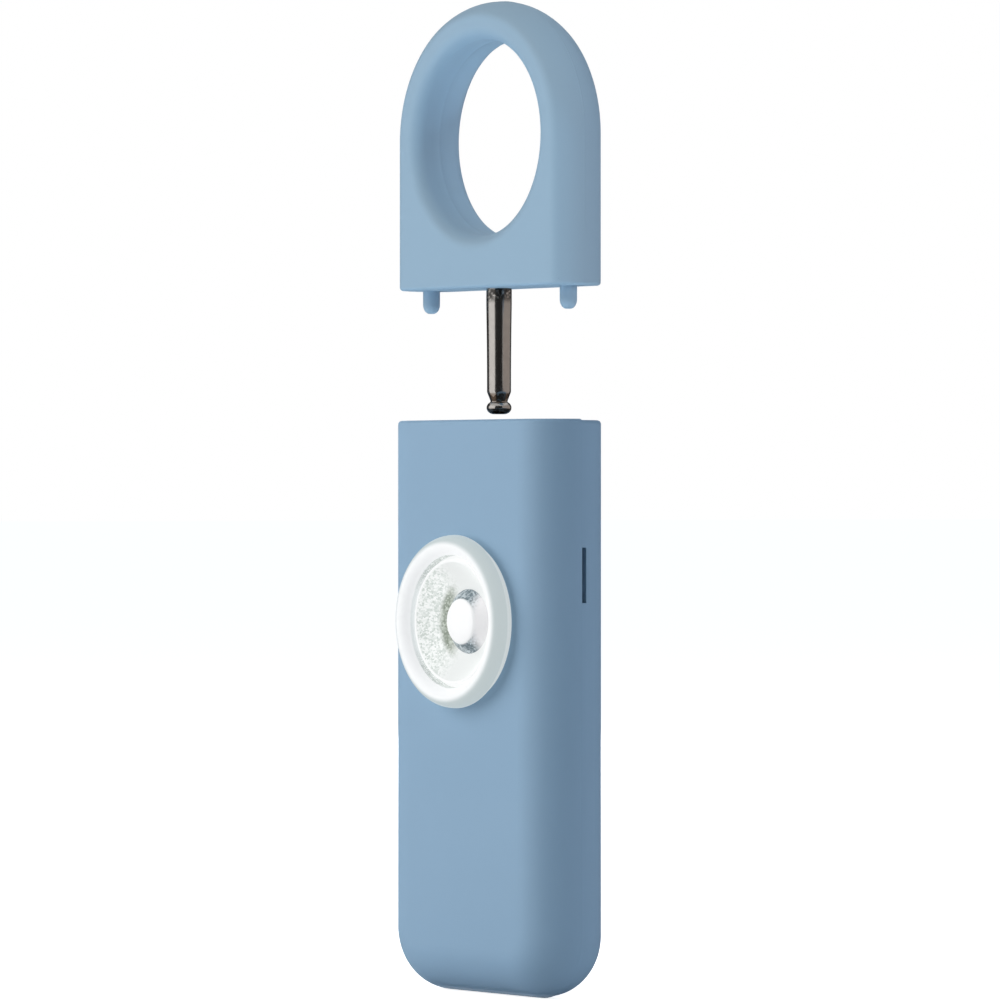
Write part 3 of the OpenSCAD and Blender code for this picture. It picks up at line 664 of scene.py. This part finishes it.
dishSettings = {
    "rimHeight": 6.05,
    "rimOuter": 6.35,
    "rimInner": 6.1,
    "rimEdge": 0.06,  # rounding of the rim
    "rimCrown": 0.03,
    "rimDrop": 0.04,
    "bowlRadius": 8.0,
    "bodyRadius": 6.75,
    "grooveHeight": 5.3,
    "seatRadius": 3.3,
    "recessRadius": 5.95,
    "recessHeight": 3.9,
    "back": 2.0,
    "color": (0.69, 0.71, 0.705),
    "speckDark": (0.55, 0.60, 0.57),
    "speckLight": (0.84, 0.86, 0.85),
    # the olive band: painted shadow and reflection of the lens on the dish
    "olivePaintedShadow": (0.20, 0.235, 0.19),
    "olivePaintedShadowLight": (0.48, 0.525, 0.47),
    # a painted highlight along the dish's rim
    "rimPaintedHighlight": (0.80, 0.81, 0.81),
    "outsideShare": 0.25,  # how much of the outside light it takes
    "speckPaintedShadeAside": (-0.6, -4.0),  # the real stipple shows as darker specks towards the left, painted shade
    "paintedShadowReach": (1.2, 0.55),  # the painted shadow and reflection of the lens, an olive band beside it, from the seat outwards
    "paintedShadowAside": (-1.3, -3.1),
    "rimHighlightFade": (-0.08, 0.02),
}
lensSettings = {
    "radius": 3.25,
    "frontHeight": 5.1,
    "crown": ((0.0, 0.06), (1.2, 0.05), (2.1, 0.02), (2.2, -0.04)),  # radius, and height above the front
    "footSoft": 0.05,
    "glowDepth": 0.05,  # the lit front reaches this far back
    "footHeight": 4.0,
    "flangeRadius": 4.15,
    "flangeTop": 3.85,
    "back": 3.45,
    "color": (0.71, 0.71, 0.715),
    # the side: painted shade and reflection with painted glints
    "sidePaintedShade": (0.09, 0.125, 0.145),
    "sidePaintedGlint": (0.42, 0.47, 0.50),
    "sidePaintedLight": (0.69, 0.68, 0.69),
    "paintedWarmAside": (1.1, 2.5),  # the side is painted light and warm right of these
    "paintedEdgeFade": (-0.28, -0.06),  # and painted light along its front edge
}


def lightPlace(r, h, turn):
    return (r * math.cos(turn), midY / mm - h, lightSettings["height"] + r * math.sin(turn))


# distance from the light's axis, height towards the front and place aside, in millimetres
def makeLightPlaceGroup():
    group, _, result = newGroup(
        "lightPlace", [], [(name, "NodeSocketFloat") for name in ("Radius", "Height", "Aside")],
    )
    place = addNode(group, "ShaderNodeTexCoord")
    shift = addNode(group, "ShaderNodeVectorMath", operation="SUBTRACT")
    shift.inputs[1].default_value = (0, midY, lightSettings["height"] * mm)
    scale = addNode(group, "ShaderNodeVectorMath", operation="SCALE")
    scale.inputs["Scale"].default_value = 1 / mm
    flat = addNode(group, "ShaderNodeVectorMath", operation="MULTIPLY")
    flat.inputs[1].default_value = (1, 0, 1)
    length = addNode(group, "ShaderNodeVectorMath", operation="LENGTH")
    split = addNode(group, "ShaderNodeSeparateXYZ")
    front = addNode(group, "ShaderNodeMath", {1: -1.0}, operation="MULTIPLY")
    link = group.links.new
    link(place.outputs["Object"], shift.inputs[0])
    link(shift.outputs["Vector"], scale.inputs[0])
    link(scale.outputs["Vector"], flat.inputs[0])
    link(flat.outputs["Vector"], length.inputs[0])
    link(scale.outputs["Vector"], split.inputs["Vector"])
    link(split.outputs["Y"], front.inputs[0])
    link(length.outputs["Value"], result.inputs["Radius"])
    link(front.outputs[0], result.inputs["Height"])
    link(split.outputs["X"], result.inputs["Aside"])
    return group


lightPlaceGroup = makeLightPlaceGroup()


# milky ring: painted glow, painted grey shade on the outer slope and a painted highlight line above the lip
def makeMilky(s):
    material, tree, shader = newMaterial("milkyRing", **{
        "Specular IOR Level": 0.25,
        "Subsurface Weight": 0.3,
        "Subsurface Radius": (0.0008, 0.0008, 0.0008),
        "Subsurface Scale": 1.0,
        "Emission Strength": 1.0,
    })
    grain = addGroup(tree, grainGroup, {
        "Color": (*s["color"], 1), "Tone Change": 0.04, "Tone Scale": 150.0, "Grain Scale": 5000.0,
        "Roughness Low": 0.4, "Roughness High": 0.5,
    })
    place = addGroup(tree, lightPlaceGroup, {})
    paintedShadeShare = addFade(tree, place.outputs["Radius"], *[s["crestRadius"] + r for r in s["paintedShadeFade"]])
    lip = addFade(tree, place.outputs["Height"], *[s["lipHeight"] + h for h in s["lipHighlightFade"]])
    color = addMix(tree, paintedShadeShare, grain.outputs["Color"], s["outerPaintedShade"])
    glow = addMix(tree, paintedShadeShare, s["innerPaintedGlow"], s["outerPaintedShadeGlow"])
    glow = addMix(tree, lip, glow, s["lipPaintedHighlight"])
    tree.links.new(color, shader.inputs["Base Color"])
    tree.links.new(grain.outputs["Roughness"], shader.inputs["Roughness"])
    tree.links.new(glow, shader.inputs["Emission Color"])
    addBump(tree, shader, grain.outputs["Height"], 0.06, 0.00003)
    return material


# the ring's bore wall: stipple that glows as painted light, painted plain and light at its left
def makeStippledWall(s):
    material, tree, shader = newMaterial("stippledWall", **{"Roughness": 0.45, "Emission Strength": 0.3})
    sparkle = addGroup(tree, sparkleGroup, {
        "Dark": (*s["wallDark"], 1), "Light": (*s["wallLight"], 1), "Scale": 12000.0, "Dark Share": 0.3,
    })
    place = addGroup(tree, lightPlaceGroup, {})
    stippleShare = addFade(tree, place.outputs["Aside"], *s["paintedPlainAside"])
    color = addMix(tree, stippleShare, s["wallPaintedLight"], sparkle.outputs["Color"])
    tree.links.new(color, shader.inputs["Base Color"])
    tree.links.new(color, shader.inputs["Emission Color"])
    addBump(tree, shader, sparkle.outputs["Height"], 0.3, 0.00005)
    return material


def makeLightRing(s):
    crest, lip = s["crestRadius"], s["lipHeight"]
    seam = s["face"] + s["faceGap"]
    section = [(s["boreRadius"], h) for h in (s["inside"], *s["boreRows"])]
    section += arc(crest, s["innerHeight"], s["innerRound"], s["innerRound"], 180, 90, 16)
    section += arc(crest, lip, s["outerRound"][0], s["outerRound"][1], 88, 0, 22)
    section += [(crest + s["outerRound"][0] - s["lipUnder"][0], lip - s["lipUnder"][1])]
    section += [(s["footRadius"] + s["footFlare"][0], lip - s["footFlare"][1])]
    section += [(s["footRadius"], lip - s["footTop"]), (s["footRadius"], seam)]
    section += [(s["spigotRadius"], seam), (s["spigotRadius"], s["inside"])]
    points = []
    faces = []
    turned(section, lightPlace, 144, points, faces)
    piece = makePiece("lightRing", points, faces, "case", ["light_ring"])
    piece.data.materials.append(makeMilky(s))
    piece.data.materials.append(makeStippledWall(s))
    wallRadius = s["boreRadius"] + s["wallReach"][0]
    wallHeight = s["innerHeight"] + s["wallReach"][1]
    for face in piece.data.polygons:
        radius = math.hypot(face.center.x, face.center.z - s["height"] * mm) / mm
        if radius < wallRadius and midY - face.center.y < wallHeight * mm:
            face.material_index = 1
    return piece


# the dish glows as painted light, taking only part of the outside light
def makeDishSilver(s):
    material, tree, shader = newMaterial("stippledSilverPaintedGlow", **{
        "Roughness": 0.4, "Emission Strength": 0.92,
    })
    sparkle = addGroup(tree, sparkleGroup, {
        "Dark": (*s["speckDark"], 1), "Light": (*s["speckLight"], 1), "Scale": 5600.0, "Dark Share": 0.05,
    })
    place = addGroup(tree, lightPlaceGroup, {})
    # darker specks towards the left: painted shade on the stipple
    left = addFade(tree, place.outputs["Aside"], *s["speckPaintedShadeAside"])
    paintedShadowNear = addFade(tree, place.outputs["Radius"], *[s["seatRadius"] + r for r in s["paintedShadowReach"]])
    paintedShadowLeft = addFade(tree, place.outputs["Aside"], *s["paintedShadowAside"])
    paintedShadowSpecks = addGroup(tree, sparkleGroup, {
        "Dark": (*s["olivePaintedShadow"], 1), "Light": (*s["olivePaintedShadowLight"], 1),
        "Scale": 5200.0, "Dark Share": 0.25,
    })
    # painted shadow of the lens on the dish, left of it
    shade = addNode(tree, "ShaderNodeMath", operation="MULTIPLY")
    tree.links.new(paintedShadowNear, shade.inputs[0])
    tree.links.new(paintedShadowLeft, shade.inputs[1])
    rim = addFade(tree, place.outputs["Radius"], *[s["rimInner"] + r for r in s["rimHighlightFade"]])
    color = addMix(tree, left, s["color"], sparkle.outputs["Color"])
    color = addMix(tree, shade.outputs[0], color, paintedShadowSpecks.outputs["Color"])
    color = addMix(tree, rim, color, s["rimPaintedHighlight"])
    darker = addNode(tree, "ShaderNodeHueSaturation", {"Value": s["outsideShare"]})
    tree.links.new(color, darker.inputs["Color"])
    tree.links.new(darker.outputs["Color"], shader.inputs["Base Color"])
    tree.links.new(color, shader.inputs["Emission Color"])
    addBump(tree, shader, sparkle.outputs["Height"], 0.2, 0.00004)
    return material


def makeDish(s):
    def bowl(r):
        sphere = s["rimHeight"] + math.sqrt(s["bowlRadius"] ** 2 - s["rimInner"] ** 2)
        return sphere - math.sqrt(s["bowlRadius"] ** 2 - r * r)
    bowlSteps = 24
    width = s["rimInner"] - s["seatRadius"]
    radii = [s["seatRadius"] + width * i / bowlSteps for i in range(bowlSteps + 1)]
    crown = s["rimHeight"] + s["rimCrown"]
    section = [(r, bowl(r)) for r in radii]
    section += [(s["rimInner"] + s["rimEdge"], crown), (s["rimOuter"] - s["rimEdge"], crown)]
    section += [(s["rimOuter"], s["rimHeight"] - s["rimDrop"]), (s["rimOuter"], s["grooveHeight"])]
    section += [(s["bodyRadius"], s["grooveHeight"]), (s["bodyRadius"], s["back"])]
    section += [(s["recessRadius"], s["back"]), (s["recessRadius"], s["recessHeight"])]
    section += [(s["seatRadius"], s["recessHeight"])]
    points = []
    faces = []
    turned(section, lightPlace, 144, points, faces)
    piece = makePiece("sparkleDish", points, faces, "case", ["reflector"])
    piece.data.materials.append(makeDishSilver(s))
    return piece


def makeLensGlow(s):
    material, tree, shader = newMaterial("litLens", **{"Emission Strength": 0.35, "Roughness": 0.35})
    grain = addGroup(tree, grainGroup, {
        "Color": (*s["color"], 1), "Tone Change": 0.03, "Tone Scale": 600.0, "Grain Scale": 4000.0,
    })
    tree.links.new(grain.outputs["Color"], shader.inputs["Base Color"])
    tree.links.new(grain.outputs["Color"], shader.inputs["Emission Color"])
    return material


# lens side: painted shade and glints, painted light on its right and along its front edge
def makeLensSide(s):
    material, tree, shader = newMaterial("lensSide", **{"Roughness": 0.35, "Emission Strength": 0.35})
    sparkle = addGroup(tree, sparkleGroup, {
        "Dark": (*s["sidePaintedShade"], 1), "Light": (*s["sidePaintedGlint"], 1), "Scale": 4600.0, "Dark Share": 0.3,
    })
    place = addGroup(tree, lightPlaceGroup, {})
    right = addFade(tree, place.outputs["Aside"], *s["paintedWarmAside"])
    color = addMix(tree, right, sparkle.outputs["Color"], s["sidePaintedLight"])
    paintedEdgeLight = addFade(tree, place.outputs["Height"], *[s["frontHeight"] + h for h in s["paintedEdgeFade"]])
    color = addMix(tree, paintedEdgeLight, color, s["color"])
    tree.links.new(color, shader.inputs["Base Color"])
    tree.links.new(color, shader.inputs["Emission Color"])
    addBump(tree, shader, sparkle.outputs["Height"], 0.3, 0.00006)
    return material


def makeLens(s):
    front = s["frontHeight"]
    section = [(r, front + h) for r, h in s["crown"]]
    section += [(s["radius"] - s["footSoft"], s["footHeight"] + s["footSoft"])]
    section += [(s["radius"], s["footHeight"])]
    section += [(s["radius"], s["flangeTop"]), (s["flangeRadius"], s["flangeTop"])]
    section += [(s["flangeRadius"], s["back"]), (0.0, s["back"])]
    points = []
    faces = []
    turned(section, lightPlace, 96, points, faces)
    piece = makePiece("strobeLens", points, faces, "case", ["strobe_lens"])
    piece.data.materials.append(makeLensGlow(s))
    piece.data.materials.append(makeLensSide(s))
    limit = midY - (front - s["glowDepth"]) * mm
    for face in piece.data.polygons:
        if face.center.y > limit:
            face.material_index = 1
    return piece


lightRing = makeLightRing(lightSettings)
sparkleDish = makeDish(dishSettings)
strobeLens = makeLens(lensSettings)
print("light made:", lightRing.name, sparkleDish.name, strobeLens.name)


# studio: white surround, pale floor, soft lamps, cards that only reflections see

studioSettings = {
    "ambient": 0.215,  # light from all round
    "ambientColor": (0.86, 1.0, 1.12),
    "floorColor": (0.82, 0.82, 0.82),
    "floorHalf": 12.0,
    "floorLift": 0.83,  # extra white of the floor as it is seen
    "lampHeight": 0.05,  # height that the lamps are aimed at
    "lamps": {
        "key": {
            "turn": -30, "up": 22, "distance": 0.70, "size": 0.70,
            "power": 4.45, "color": (1.03, 1.01, 0.98),
        },
        "side": {
            "turn": 115, "up": 10, "distance": 0.70, "size": 0.40,
            "power": 1.15, "color": (0.95, 1.0, 1.1),
        },
        "rear": {
            "turn": 232, "up": 18, "distance": 0.70, "size": 0.40,
            "power": 2.6, "color": (1.0, 1.0, 1.0),
        },
    },
    "handleHeight": 0.088,  # and the same for the handle's own lamps
    "handleLamps": {  # the handle has its own even light, and the key leaves it out
        "handleLeft": {
            "turn": -30, "up": 22, "distance": 0.70, "size": 0.70,
            "power": 0.85, "color": (1.2, 1.0, 0.88),
        },
        "handleFront": {
            "turn": 10, "up": 44, "distance": 0.50, "size": 0.30,
            "power": 1.18, "color": (1.0, 1.0, 0.93),
        },
        "handleRight": {
            "turn": 96, "up": 6, "distance": 0.50, "size": 0.08,
            "power": 0.31, "color": (1.08, 1.0, 0.92),
        },
        "handleBelow": {
            "turn": 0, "up": -60, "distance": 0.50, "size": 0.08,
            "power": 1.05, "color": (0.79, 1.0, 1.11),
        },
    },
    "cards": {
        "front": {"from": -56, "to": 12, "glow": (1.6, 1.58, 1.56)},
        "behindCamera": {"from": 14, "to": 86, "glow": (0.04, 0.04, 0.04)},
        "right": {"from": 90, "to": 176, "glow": (0.66, 0.59, 0.55)},
        "backRight": {"from": 178, "to": 232, "glow": (0.06, 0.06, 0.06)},
        "left": {"from": -130, "to": -58, "glow": (0.06, 0.06, 0.06)},
    },
    "cardReach": (0.03, 0.75),  # each card lies on the floor from here to here and then stands up
    "cardHeight": (0.001, 0.6),
    "floorCard": {"height": 0.0005, "glow": (0.08, 0.08, 0.08)},
}


# 1 for rays from the camera and for mirror and glass rays, 0 for diffuse light
def seenMask(tree):
    path = addNode(tree, "ShaderNodeLightPath")
    first = addNode(tree, "ShaderNodeMath", operation="MAXIMUM")
    second = addNode(tree, "ShaderNodeMath", operation="MAXIMUM")
    tree.links.new(path.outputs["Is Camera Ray"], first.inputs[0])
    tree.links.new(path.outputs["Is Glossy Ray"], first.inputs[1])
    tree.links.new(first.outputs[0], second.inputs[0])
    tree.links.new(path.outputs["Is Transmission Ray"], second.inputs[1])
    return second.outputs[0]


def makeWorld(s):
    world = bpy.data.worlds.new("surround")
    bpy.context.scene.world = world
    world.use_nodes = True
    tree = world.node_tree
    background = tree.nodes["Background"]
    seen = seenMask(tree)
    strength = addNode(tree, "ShaderNodeMapRange", {"To Min": s["ambient"], "To Max": 1.0})
    tree.links.new(seen, strength.inputs["Value"])
    tree.links.new(addMix(tree, seen, s["ambientColor"], (1, 1, 1)), background.inputs["Color"])
    tree.links.new(strength.outputs["Result"], background.inputs["Strength"])


def squarePoints(half, height):
    return [(-half, -half, height), (half, -half, height), (half, half, height), (-half, half, height)]


def makeFloor(s):
    mesh = bpy.data.meshes.new("floor")
    mesh.from_pydata(squarePoints(s["floorHalf"], 0), [], [(0, 1, 2, 3)])
    floor = bpy.data.objects.new("floor", mesh)
    bpy.context.scene.collection.objects.link(floor)
    material, tree, shader = newMaterial("paleFloor", **{
        "Base Color": (*s["floorColor"], 1), "Roughness": 0.9,
        "Specular IOR Level": 0.0, "Emission Color": (1, 1, 1, 1),
    })
    lift = addNode(tree, "ShaderNodeMath", {1: s["floorLift"]}, operation="MULTIPLY")
    tree.links.new(seenMask(tree), lift.inputs[0])
    tree.links.new(lift.outputs[0], shader.inputs["Emission Strength"])
    mesh.materials.append(material)


def makeLamp(name, s, height):
    turn, up = math.radians(s["turn"]), math.radians(s["up"])
    away = Vector((math.sin(turn) * math.cos(up), -math.cos(turn) * math.cos(up), math.sin(up)))
    data = bpy.data.lights.new(name, "AREA")
    data.size = s["size"]
    data.energy = s["power"]
    data.color = s["color"]
    lamp = bpy.data.objects.new(name, data)
    bpy.context.scene.collection.objects.link(lamp)
    lamp.location = Vector((0, midY, height)) + away * s["distance"]
    lamp.rotation_euler = away.to_track_quat("Z", "Y").to_euler()
    lamp.visible_camera = False
    lamp.visible_glossy = False
    return lamp


# a lamp that lights the handle alone, or all but the handle
def linkLamp(lamp, state):
    group = bpy.data.collections.new(lamp.name)
    group.objects.link(ringHandle)
    group.collection_objects[0].light_linking.link_state = state
    lamp.light_linking.receiver_collection = group
    if state == "INCLUDE":
        lamp.light_linking.blocker_collection = group


# a card that only reflections see
def makeCard(name, points, faces, glow):
    mesh = bpy.data.meshes.new(name)
    mesh.from_pydata(points, [], faces)
    card = bpy.data.objects.new(name, mesh)
    bpy.context.scene.collection.objects.link(card)
    mesh.materials.append(newMaterial(name, **{
        "Base Color": (0, 0, 0, 1), "Specular IOR Level": 0.0,
        "Emission Color": (*glow, 1), "Emission Strength": 1.0,
    })[0])
    for ray in ("camera", "diffuse", "shadow", "transmission", "volume_scatter"):
        setattr(card, "visible_" + ray, False)


def makeRoundCard(name, s, reach, height):
    steps = 24
    points = []
    section = [(reach[0], height[0]), (reach[1], height[0]), (reach[1], height[1])]
    for i in range(steps + 1):
        turn = math.radians(s["from"] + (s["to"] - s["from"]) * i / steps)
        points.extend((r * math.sin(turn), -r * math.cos(turn), z) for r, z in section)
    faces = [(k, k + 3, k + 4, k + 1) for i in range(steps) for k in (3 * i, 3 * i + 1)]
    makeCard(name, points, faces, s["glow"])


makeWorld(studioSettings)
makeFloor(studioSettings)
for lampName, lampSettings in studioSettings["lamps"].items():
    lamp = makeLamp(lampName + "Lamp", lampSettings, studioSettings["lampHeight"])
    if lampName == "key":
        linkLamp(lamp, "EXCLUDE")
for lampName, lampSettings in studioSettings["handleLamps"].items():
    linkLamp(makeLamp(lampName + "Lamp", lampSettings, studioSettings["handleHeight"]), "INCLUDE")
for cardName, cardSettings in studioSettings["cards"].items():
    makeRoundCard(cardName + "Card", cardSettings, studioSettings["cardReach"], studioSettings["cardHeight"])
floorCard = studioSettings["floorCard"]
cardCorners = squarePoints(studioSettings["cardReach"][1], floorCard["height"])
makeCard("floorCard", cardCorners, [(0, 1, 2, 3)], floorCard["glow"])
print("studio made")
